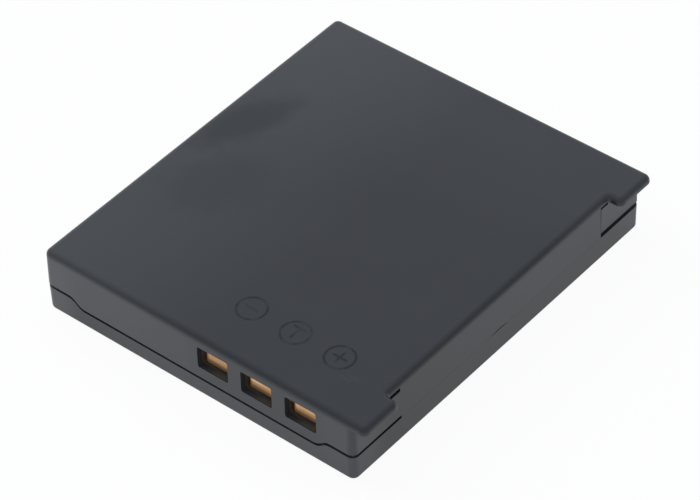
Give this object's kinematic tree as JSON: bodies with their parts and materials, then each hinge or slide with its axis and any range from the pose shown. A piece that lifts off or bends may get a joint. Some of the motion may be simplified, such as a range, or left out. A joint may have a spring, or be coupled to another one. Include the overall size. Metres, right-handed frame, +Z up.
{
  "type": "wireless mouse battery",
  "caption": "Flat rectangular rechargeable battery pack for a wireless mouse, with a stepped seam, thin ears on one edge and recessed gold contacts in an end wall.",
  "frame": {"origin": "middle of the underside of the pack's bounding box", "axes": "+Z up through the flat top, -Y out of the contact wall, +X out of the ears"},
  "size_m": [0.0362, 0.0402, 0.0069],
  "materials": {
    "case_plastic": "dark charcoal, fine satin texture",
    "can_aluminium": "drawn, satin",
    "gasket_plastic": "moulded, white",
    "nickel": "rolled strip, satin",
    "insulating_paper": "pressed paper, matt",
    "adhesive_foam": "matt foam",
    "board_laminate": "solder mask over glass laminate",
    "chip_plastic": "moulded, matt",
    "resistor_ceramic": "glazed ceramic",
    "capacitor_ceramic": "fired ceramic",
    "contact_gold": "gold-plated, polished"
  },
  "bodies": {
    "root": {"upper_case": "case_plastic", "lower_case": "case_plastic", "cell": "can_aluminium", "terminal_gasket": "gasket_plastic", "negative_terminal": "nickel", "positive_tab": "nickel", "negative_tab": "nickel", "positive_solder_plate": "nickel", "negative_solder_plate": "nickel", "insulating_paper": "insulating_paper", "upper_pad": "adhesive_foam", "lower_pad": "adhesive_foam", "circuit_board": "board_laminate", "protection_chip": "chip_plastic", "switch_transistor": "chip_plastic", "chip_resistors": "resistor_ceramic", "heat_sensor": "resistor_ceramic", "chip_capacitors": "capacitor_ceramic", "negative_contact": "contact_gold", "sense_contact": "contact_gold", "positive_contact": "contact_gold"}
  },
  "joints": []
}
